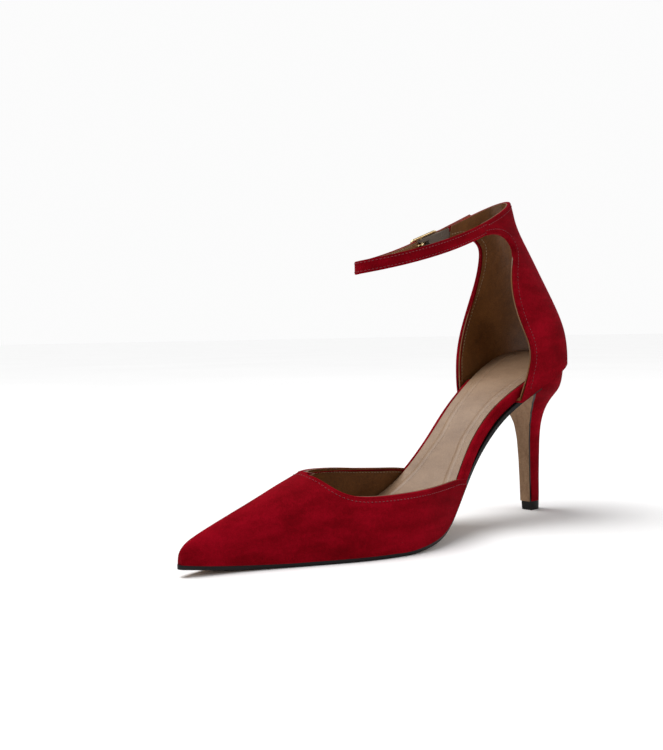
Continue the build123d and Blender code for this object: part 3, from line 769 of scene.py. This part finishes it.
@dataclass
class Forepart:
    """The vamp: its folded topline, its stitching and its sewn-in lining."""

    medial_topline: list[Pair] = field(
        default_factory=lambda: [
            (93.8, 27.3), (100, 27.9), (113, 27.8), (128, 27.5), (144, 27.3), (158, 27.2), (167, 27.6),
            (173, 29), (177.6, 32.2), (181.5, 38.4),
        ]
    )
    lateral_topline: list[Pair] = field(
        default_factory=lambda: [
            (92.8, 28.8), (101, 30.1), (113, 31), (126, 32.1), (140, 33.7), (153, 34.8), (165, 35.8),
            (174, 36.7), (181.5, 38.4),
        ]
    )
    fold: float = 2.1
    stitch_inset: float = 2.2

    def topline(self, tree: BVHTree, offset: float) -> Laid:
        """The topline all the way round, at an offset below the edge, from medial to lateral."""
        medial = SideLine(self.medial_topline, Flank.MEDIAL, inward=-1).laid(tree, offset)
        lateral = SideLine(self.lateral_topline, Flank.LATERAL, inward=-1).laid(tree, offset)
        return bridged(medial, lateral[::-1], tree)

    def build(self, wardrobe: Wardrobe) -> list[bpy.types.Object]:
        """Make the topline's fold and stitches, and the stitches inside the vamp's lining.

        Args:
            wardrobe: Where the finishes come from.

        Returns:
            The new pieces.
        """
        tree = skin("vamp")
        edge = evenly(self.topline(tree, 0.4), 1.2 * MM)
        fold = oval(self.fold * MM, self.fold * 0.75 * MM, 14)
        rim = become(sweep(fold, stances(sunk(edge, 0.85))), "vamp_folded_edge")
        wardrobe.dress(rim, Slot.SUEDE)
        turned = become(sweep(oval(1.1 * MM, 1.1 * MM, 10), stances(sunk(edge, 2.1))), "vamp_turned_edge")
        wardrobe.dress(turned, Slot.SUEDE)
        row = stitches("vamp_topline_stitches", self.topline(tree, self.stitch_inset))
        wardrobe.dress(row, Slot.SUEDE, THREAD)
        made = [rim, turned, row]
        lining = skin("vamp_lining")
        for points, flank in ((self.medial_topline, Flank.MEDIAL), (self.lateral_topline, Flank.LATERAL)):
            inner = SideLine(points, flank, inward=-1).laid(lining, self.stitch_inset, inside=True)
            piece = stitches(f"vamp_lining_stitches_{flank.name.lower()}", inner)
            made.append(wardrobe.dress(piece, Slot.LINING, PALE_THREAD))
        for piece in made:
            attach(piece, Body.SHOE.value)
        return made


@dataclass
class Backpart:
    """The quarters: folded front edges and collar, stitching outside and in, and the back seam."""

    medial_front: list[Pair] = field(
        default_factory=lambda: [
            (50.0, 72), (48.2, 79), (46.8, 87), (48.6, 95), (52.4, 102), (56.6, 111.5), (58.5, 122), (57.0, 132),
            (53.4, 140), (51.8, 145.2), (54.4, 149.4), (60.5, 151.5), (67, 151.6), (75.5, 150.2),
        ]
    )
    lateral_front: list[Pair] = field(
        default_factory=lambda: [
            (49.8, 74), (48.6, 86), (45.4, 97), (41.6, 108), (38.8, 120), (38.2, 131), (39.2, 140), (42.2, 148),
            (48.5, 152.4), (56, 153.6), (63.5, 151.9),
        ]
    )
    fold: float = 2.1
    stitch_inset: float = 2.2
    collar_centre: float = 66.0
    medial_end: float = 75.3
    lateral_end: float = 63.6
    back_seam: Pair = (84.0, 166.0)

    def collar(self, tree: BVHTree, drop: float, count: int = 70) -> Laid:
        """The collar's top edge from the medial seam round the back to the lateral tab.

        Args:
            tree: The quarters' outer surface.
            drop: How far below the edge the line runs, in millimetres.
            count: How many places it has.

        Returns:
            Places and outward normals.
        """
        line = []
        for k in range(count + 1):
            turn = math.radians(-28 + 226 * k / count)
            station, across = 60.0, 0.0
            found = None
            for _ in range(9):
                height = ring_top(station) + RING_TILT * across - drop
                centre = spot(0, self.collar_centre, height)
                away = Vector((math.cos(turn), math.sin(turn), 0))
                found = tree.ray_cast(centre + away * 0.09, -away)
                if found[0] is None:
                    break
                station = (station + HALF_LENGTH - found[0].y / MM) / 2
                across = (across + found[0].x / MM) / 2
            if found[0] is None or (found[0] - centre).dot(away) < 0:
                continue
            if station > (self.medial_end if across > 0 else self.lateral_end):
                continue
            line.append((found[0], found[1] if found[1].dot(away) > 0 else -found[1]))
        return line

    def seam(self, tree: BVHTree, across: float) -> Laid:
        """A line beside the back seam, from the seat up to the collar.

        Args:
            tree: Surface to lay the line on.
            across: Distance from the seam, in millimetres.

        Returns:
            The line's places and outward normals.
        """
        low, high = self.back_seam
        line = []
        for k in range(41):
            height = low + (high - low) * k / 40
            hit, normal, _, _ = tree.ray_cast(spot(across, -30, height), Vector((0, -1, 0)))
            if hit is not None:
                line.append((hit, normal if normal.y > 0 else -normal))
        return line

    def build(self, wardrobe: Wardrobe) -> list[bpy.types.Object]:
        """Make the folded edges, the stitches and the back seam.

        Args:
            wardrobe: Where the finishes come from.

        Returns:
            The new pieces.
        """
        shell = skin("quarter_medial", "quarter_lateral")
        lining = skin("quarter_lining")
        made = []
        for side_name, points, flank in (
            ("medial", self.medial_front, Flank.MEDIAL),
            ("lateral", self.lateral_front, Flank.LATERAL),
        ):
            front = SideLine(points, flank, inward=1)
            edge = evenly(front.laid(shell, 0.6), 1.2 * MM)
            rim = sweep(oval(self.fold * MM, 0.75 * self.fold * MM, 14), stances(sunk(edge, 0.85)))
            made.append(wardrobe.dress(become(rim, f"{side_name}_front_fold"), Slot.SUEDE))
            turned = sweep(oval(1.3 * MM, 1.2 * MM), stances(sunk(edge, 2.2)))
            made.append(wardrobe.dress(become(turned, f"{side_name}_turned_edge"), Slot.SUEDE))
            row = stitches(f"{side_name}_front_stitches", front.laid(shell, self.stitch_inset))
            made.append(wardrobe.dress(row, Slot.SUEDE, THREAD))
            inner = stitches(f"{side_name}_lining_stitches", front.laid(lining, self.stitch_inset, inside=True))
            made.append(wardrobe.dress(inner, Slot.LINING, PALE_THREAD))
        top = evenly(self.collar(shell, 0.6), 1.2 * MM)
        rim = sweep(oval(self.fold * MM, 0.75 * self.fold * MM, 14), stances(sunk(top, 0.85)))
        made.append(wardrobe.dress(become(rim, "collar_fold"), Slot.SUEDE))
        row = stitches("collar_stitches", self.collar(shell, self.stitch_inset))
        made.append(wardrobe.dress(row, Slot.SUEDE, THREAD))
        for name, across in (("back_stitches_medial", 1.8), ("back_stitches_lateral", -1.8)):
            made.append(wardrobe.dress(stitches(name, self.seam(shell, across)), Slot.SUEDE, THREAD))
        for piece in made:
            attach(piece, Body.SHOE.value)
        return made


@dataclass
class Sock:
    """The sock lining's padded ridges, one near each edge."""

    stations: Pair = (14.0, 150.0)
    inset: float = 9.5
    width: float = 4.6
    rise: float = 1.5
    half_widths: list[Pair] = field(
        default_factory=lambda: [
            (4, 13.6), (10, 20.3), (22, 25.2), (41.5, 23), (61.5, 19.2), (81.5, 17.3), (96.5, 20.8),
            (111.5, 27), (126.5, 32.6), (141.5, 35.4), (156.5, 34.2),
        ]
    )

    def half_width(self, station: float) -> float:
        """Half the sole's width at a station, in millimetres."""
        for (s0, w0), (s1, w1) in zip(self.half_widths, self.half_widths[1:]):
            if station <= s1:
                return w0 + (w1 - w0) * (station - s0) / (s1 - s0)
        return self.half_widths[-1][1]

    def build(self, wardrobe: Wardrobe) -> list[bpy.types.Object]:
        """Raise a soft ridge along each side of the sock.

        Args:
            wardrobe: Where the finishes come from.

        Returns:
            The new pieces.
        """
        tree = skin("sock_lining")
        made = []
        for flank in Flank:
            line = []
            for k in range(81):
                station = self.stations[0] + (self.stations[1] - self.stations[0]) * k / 80
                across = flank.value * (self.half_width(station) - self.inset)
                hit, normal, _, _ = tree.ray_cast(spot(across, station, 140), -UP)
                if hit is not None:
                    line.append((hit, normal if normal.z > 0 else -normal))
            ridge = sweep(oval(self.rise * MM, self.width * MM, 14), stances(sunk(line, self.rise * 0.28)))
            piece = become(ridge, f"sock_ridge_{flank.name.lower()}")
            wardrobe.dress(piece, Slot.SOCK)
            made.append(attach(piece, Body.SHOE.value))
        return made


@dataclass
class WaistBand:
    """The suede that wraps the insole's edge along the open waist, on both sides."""

    stations: Pair = (44.0, 100.0)
    thickness: float = 3.3
    height: float = 5.5
    corner: float = 1.25
    drop: float = 3.0
    inset: float = 2.35
    medial_plan: list[Pair] = field(
        default_factory=lambda: [
            (41.5, 23), (51.5, 21), (61.5, 19.2), (71.5, 17.7), (81.5, 17.3), (89, 18.5), (96.5, 20.8), (104, 24)
        ]
    )
    lateral_plan: list[Pair] = field(
        default_factory=lambda: [
            (41.5, 23.7), (51.5, 21.6), (61.5, 19.9), (71.5, 19.1), (81.5, 19.2), (89, 20.4), (96.5, 22.4), (104, 25)
        ]
    )

    def build(self, wardrobe: Wardrobe) -> list[bpy.types.Object]:
        """Lay a rounded strip along each edge of the waist.

        Args:
            wardrobe: Where the finishes come from.

        Returns:
            The new pieces.
        """
        tree = skin("sock_lining")
        made = []
        for flank, plan in ((Flank.MEDIAL, self.medial_plan), (Flank.LATERAL, self.lateral_plan)):
            sign = flank.value
            outward = Vector((sign, 0, 0))
            line = []
            for place in eased([Vector((sign * w, s, 0)) for s, w in plan], 10):
                if not self.stations[0] < place.y < self.stations[1]:
                    continue
                probe = spot(place.x - sign * 6.0, place.y, 140)
                hit, normal, _, _ = tree.ray_cast(probe, -UP)
                if hit is None:
                    continue
                edge = hit - normal * self.drop * MM
                edge.x = (place.x - sign * self.inset) * MM
                line.append((edge, outward))
            strip = sweep(slab(self.thickness * MM, self.height * MM, self.corner * MM), stances(line))
            piece = wardrobe.dress(become(strip, f"waist_band_{flank.name.lower()}"), Slot.SUEDE)
            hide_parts(f"insole_wrap_{flank.name.lower()}")
            made.append(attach(piece, Body.SHOE.value))
        return made


@dataclass
class AnkleStrap:
    """The ankle strap: folded suede outside, lining inside and two rows of stitches."""

    path: list[Pair] = field(
        default_factory=lambda: [
            (18.5, 75.75), (19.3, 86), (19.1, 100), (17.1, 114), (13.2, 128), (8.6, 138), (4.2, 143.2), (0, 144.9),
            (-4.2, 143.4), (-8.6, 138), (-13.4, 127.5), (-17.4, 113), (-19.5, 99), (-21.2, 87), (-24.95, 79),
            (-21.8, 70.5), (-19.9, 65.5),
            (-19.2, 60), (-17.9, 54), (-15.7, 46),
        ]
    )
    height: float = 6.3
    suede_t: float = 1.15
    lining_t: float = 0.75
    stitch_rise: float = 2.05
    root_bend: float = 14.0

    def line(self, rise: float, outward: float) -> Laid:
        """A line along the strap.

        Args:
            rise: How far above the strap's middle it runs, in millimetres.
            outward: How far outside the strap's middle it runs, in millimetres.

        Returns:
            Places and outward normals.
        """
        middle = []
        for x, station in self.path:
            middle.append(spot(x, station, ring_top(station) + RING_TILT * x - self.height / 2 + rise))
        curve = eased(middle, 10)
        line = []
        for k, place in enumerate(curve):
            along = curve[min(k + 1, len(curve) - 1)] - curve[max(k - 1, 0)]
            normal = Vector((-along.y, along.x, 0)).normalized() * -1
            if normal.dot(Vector((place.x, place.y - 0.03, 0))) < 0:
                normal = -normal
            line.append((place + normal * outward * MM, normal))
        return line

    def build(self, wardrobe: Wardrobe) -> list[bpy.types.Object]:
        """Make the strap's two plies and its stitches.

        Args:
            wardrobe: Where the finishes come from.

        Returns:
            The new pieces.
        """
        outer = sweep(
            slab(self.suede_t * MM, self.height * MM, 0.5 * MM), stances(evenly(self.line(0, 0.28), 1.0 * MM))
        )
        inner = sweep(
            slab(self.lining_t * MM, (self.height - 0.7) * MM, 0.3 * MM),
            stances(evenly(self.line(0, -0.55), 1.0 * MM)),
        )
        suede = wardrobe.dress(become(outer, "strap_suede"), Slot.SUEDE)
        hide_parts("ankle_strap", "strap_tape")
        lining = wardrobe.dress(become(inner, "strap_inner"), Slot.LINING)
        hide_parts("strap_lining")
        made = [suede, lining]
        for name, rise in (("strap_stitches_upper", self.stitch_rise), ("strap_stitches_lower", -self.stitch_rise)):
            row = stitches(name, self.line(rise, 0.28 + self.suede_t / 2))
            made.append(wardrobe.dress(row, Slot.SUEDE, THREAD))
            inner_row = stitches(f"{name}_inside", self.line(rise, -0.55 - self.lining_t / 2))
            made.append(wardrobe.dress(inner_row, Slot.LINING, PALE_THREAD))
        root = self.line(0, 0)
        for piece in made:
            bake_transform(piece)
        return made


@dataclass
class Buckle:
    """Centre-bar buckle with a prong, in pale gold."""

    centre: tuple[float, float, float] = (-22.35, 45.0, 148.668)
    aim: tuple[float, float, float] = (0.074, 1.0, 0.375)
    facing: tuple[float, float, float] = (-1.0, 0.074, 0.0)
    front_bar: float = -7.0
    rear_bar: float = 12.0
    half_height: float = 3.7
    corner: float = 1.5
    wire: float = 1.4
    prong_wire: float = 1.1

    def place(self) -> Matrix:
        """Place the buckle: X along the strap, Y along the bars, Z outward.

        Returns:
            The buckle's own frame, in metres.
        """
        x_axis = Vector(self.aim).normalized()
        z_axis = Vector(self.facing).normalized()
        y_axis = z_axis.cross(x_axis)
        turn = Matrix((x_axis, y_axis, z_axis)).transposed().to_4x4()
        turn.translation = Vector(self.centre) * MM
        return turn

    def outline(self) -> list[Vector]:
        """Middle line of the frame's wire, with rounded corners.

        Returns:
            Points in the buckle's plane, in millimetres.
        """
        points = []
        corners = (
            (self.rear_bar - self.corner, self.half_height - self.corner, 0),
            (self.front_bar + self.corner, self.half_height - self.corner, 90),
            (self.front_bar + self.corner, self.corner - self.half_height, 180),
            (self.rear_bar - self.corner, self.corner - self.half_height, 270),
        )
        for x, y, start in corners:
            for step in (0, 22.5, 45, 67.5, 90):
                turn = math.radians(start + step)
                points.append(Vector((x + self.corner * math.cos(turn), y + self.corner * math.sin(turn), 0)))
        return points

    def build(self, wardrobe: Wardrobe) -> list[bpy.types.Object]:
        """Bend the frame and its bar from wire, and forge the prong.

        Args:
            wardrobe: Where the finishes come from.

        Returns:
            The new pieces.
        """
        place = self.place()
        outward = place.to_3x3() @ Vector((0, 0, 1))
        loop = [(place @ (point * MM), outward) for point in self.outline()]
        ring = sweep(slab(self.wire * 0.9 * MM, self.wire * MM, 0.45 * MM), stances(loop, closed=True), closed=True)
        bar_ends = [place @ (Vector((0, y, 0)) * MM) for y in (-self.half_height, self.half_height)]
        bar = sweep(oval(self.wire * MM, self.wire * MM, 14), stances([(end, outward) for end in bar_ends]))
        scrap = bpy.data.meshes.new("bar_scrap")
        bar.to_mesh(scrap)
        bar.free()
        ring.from_mesh(scrap)
        bpy.data.meshes.remove(scrap)
        wire_frame = wardrobe.dress(become(ring, "buckle_wire"), Slot.GOLD)
        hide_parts("buckle_frame")
        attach(wire_frame, Body.BUCKLE.value)
        path = [(0.0, 1.05), (-2.0, 1.1), (-3.7, 2.4), (-5.4, 2.0), (-7.9, 1.15)]
        spine = eased([Vector((x, 0, z)) for x, z in path], 6)
        blade = [(place @ (point * MM), outward) for point in spine]
        prong = sweep(oval(self.prong_wire * MM, 1.3 * MM, 10), stances(blade))
        eye = [
            place @ (Vector((1.02 * math.cos(a), 0, 1.02 * math.sin(a))) * MM)
            for a in (2 * math.pi * k / 20 for k in range(20))
        ]
        across = place.to_3x3() @ Vector((0, 1, 0))
        loop_mesh = sweep(oval(1.4 * MM, 0.55 * MM, 8), stances([(p, across) for p in eye], closed=True), closed=True)
        scrap = bpy.data.meshes.new("eye_scrap")
        loop_mesh.to_mesh(scrap)
        loop_mesh.free()
        prong.from_mesh(scrap)
        bpy.data.meshes.remove(scrap)
        tongue = wardrobe.dress(become(prong, "buckle_tongue"), Slot.GOLD)
        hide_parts("buckle_prong")
        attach(tongue, Body.PRONG.value)
        return [wire_frame, tongue]


@dataclass
class Carcass:
    """The CAD nodes that stay in view, each with its finish."""

    slots: dict[str, Slot] = field(
        default_factory=lambda: {
            "outsole": Slot.SOLE,
            "bottom_filler": Slot.CORK,
            "shank": Slot.STEEL,
            "shank_rivets": Slot.STEEL,
            "insole_board": Slot.BOARD,
            "insole_wrap_medial": Slot.SUEDE,
            "insole_wrap_lateral": Slot.SUEDE,
            "sock_pad": Slot.FOAM,
            "sock_lining": Slot.SOCK,
            "vamp": Slot.SUEDE,
            "vamp_interlining": Slot.STIFFENER,
            "toe_puff": Slot.STIFFENER,
            "vamp_lining": Slot.LINING,
            "quarter_medial": Slot.SUEDE,
            "quarter_lateral": Slot.SUEDE,
            "heel_counter": Slot.STIFFENER,
            "quarter_lining": Slot.LINING,
            "heel_block": Slot.ABS,
            "heel_cover": Slot.SUEDE,
            "heel_pin": Slot.STEEL,
            "heel_screw": Slot.STEEL,
            "heel_nails": Slot.STEEL,
            "top_piece": Slot.TPU,
            "top_piece_pin": Slot.STEEL,
            "elastic_loop": Slot.ELASTIC,
            "ankle_strap": Slot.SUEDE,
            "strap_tape": Slot.STIFFENER,
            "strap_lining": Slot.LINING,
            "buckle_frame": Slot.GOLD,
            "buckle_prong": Slot.GOLD,
        }
    )
    dyed: tuple[str, ...] = ("vamp_interlining", "toe_puff", "heel_counter")

    def build(self, wardrobe: Wardrobe) -> list[bpy.types.Object]:
        """Dress every CAD node.

        Args:
            wardrobe: Where the finishes come from.

        Returns:
            The CAD nodes.
        """
        return [
            wardrobe.dress(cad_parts[name], slot, DYED_CLOTH if name in self.dyed else None)
            for name, slot in self.slots.items()
        ]


@dataclass
class Studio:
    """Pale floor, soft lights and the camera."""

    eye: tuple[float, float, float] = (0.3565, -0.3464, 0.1009)
    target: tuple[float, float, float] = (0.0, -0.03995, 0.0820)
    roll: float = -0.95
    lens: float = 48.2
    floor_half: float = 20.0
    ambient: float = 0.3
    backdrop: float = 0.97

    def build(self) -> None:
        """Set the floor, the lights, the world and the camera."""
        self.lay_floor()
        self.light("key", (-0.5, -0.6, 1.5), (0.7, 0.7), 5.0)
        self.light("fill", (1.5, 0.1, 0.7), (1.0, 1.0), 2.0)
        self.light("rim", (1.0, 1.0, 0.9), (0.8, 0.8), 4.0)
        self.daylight((-0.35, -0.25, 1.0), 2.7)
        world = bpy.data.worlds.new("studio")
        world.use_nodes = True
        tree = world.node_tree
        glow = tree.nodes["Background"]
        glow.inputs["Color"].default_value = (1.0, 1.0, 1.0, 1.0)
        seen = tree.nodes.new("ShaderNodeMapRange")
        tree.links.new(tree.nodes.new("ShaderNodeLightPath").outputs["Is Camera Ray"], seen.inputs["Value"])
        seen.inputs["To Min"].default_value = self.ambient
        seen.inputs["To Max"].default_value = self.backdrop
        tree.links.new(seen.outputs["Result"], glow.inputs["Strength"])
        bpy.context.scene.world = world
        bpy.context.scene.view_settings.view_transform = "Standard"
        self.set_camera()

    def lay_floor(self) -> None:
        """Make the pale floor."""
        mesh = bmesh.new()
        bmesh.ops.create_grid(mesh, x_segments=2, y_segments=2, size=self.floor_half)
        floor = become(mesh, "floor")
        recipe = Recipe("pale_floor")
        recipe.set(
            Base_Color=recipe.ramp(recipe.noise(3.0), (0.3, (0.90, 0.90, 0.90)), (0.7, (0.92, 0.92, 0.92))),
            Roughness=0.7,
            Specular_IOR_Level=0.2,
        )
        floor.data.materials.append(recipe.material)

    def light(self, name: str, place: tuple[float, float, float], size: Pair, power: float) -> None:
        """Hang a soft box that faces the shoe.

        Args:
            name: The light's name.
            place: Where it hangs.
            size: Its width and height, in metres.
            power: Its power in watts.
        """
        data = bpy.data.lights.new(name, "AREA")
        data.shape = "RECTANGLE"
        data.size, data.size_y = size
        data.energy = power
        lamp = bpy.data.objects.new(name, data)
        lamp.location = place
        lamp.rotation_euler = (Vector((0, 0, 0.06)) - Vector(place)).to_track_quat("-Z", "Y").to_euler()
        bpy.context.scene.collection.objects.link(lamp)

    def daylight(self, source: tuple[float, float, float], strength: float) -> None:
        """Add a broad, soft light that is as strong far away as near.

        Args:
            source: The direction that it comes from.
            strength: Its strength.
        """
        data = bpy.data.lights.new("daylight", "SUN")
        data.energy = strength
        data.angle = math.radians(50)
        lamp = bpy.data.objects.new("daylight", data)
        lamp.rotation_euler = (-Vector(source)).to_track_quat("-Z", "Y").to_euler()
        bpy.context.scene.collection.objects.link(lamp)

    def set_camera(self) -> None:
        """Place the camera at eye level with the shoe."""
        data = bpy.data.cameras.new("camera")
        data.sensor_width = 36.0
        data.lens = self.lens
        data.clip_start = 0.01
        camera = bpy.data.objects.new("camera", data)
        look = (Vector(self.target) - Vector(self.eye)).to_track_quat("-Z", "Y").to_matrix()
        turn = look @ Matrix.Rotation(math.radians(self.roll), 3, "Z")
        camera.matrix_world = Matrix.Translation(Vector(self.eye)) @ turn.to_4x4()
        bpy.context.scene.collection.objects.link(camera)
        bpy.context.scene.camera = camera


def main() -> None:
    """Build every sub-assembly in order and report each piece."""
    logging.basicConfig(level=logging.INFO, format="%(name)s: %(message)s")
    wardrobe = Wardrobe()
    Studio().build()
    for part in (Carcass(), Forepart(), Backpart(), Sock(), WaistBand(), AnkleStrap(), Buckle()):
        for piece in part.build(wardrobe):
            LOG.info("%s: %s, %d faces", type(part).__name__, piece.name, len(piece.data.polygons))


if __name__ == "__main__":
    main()
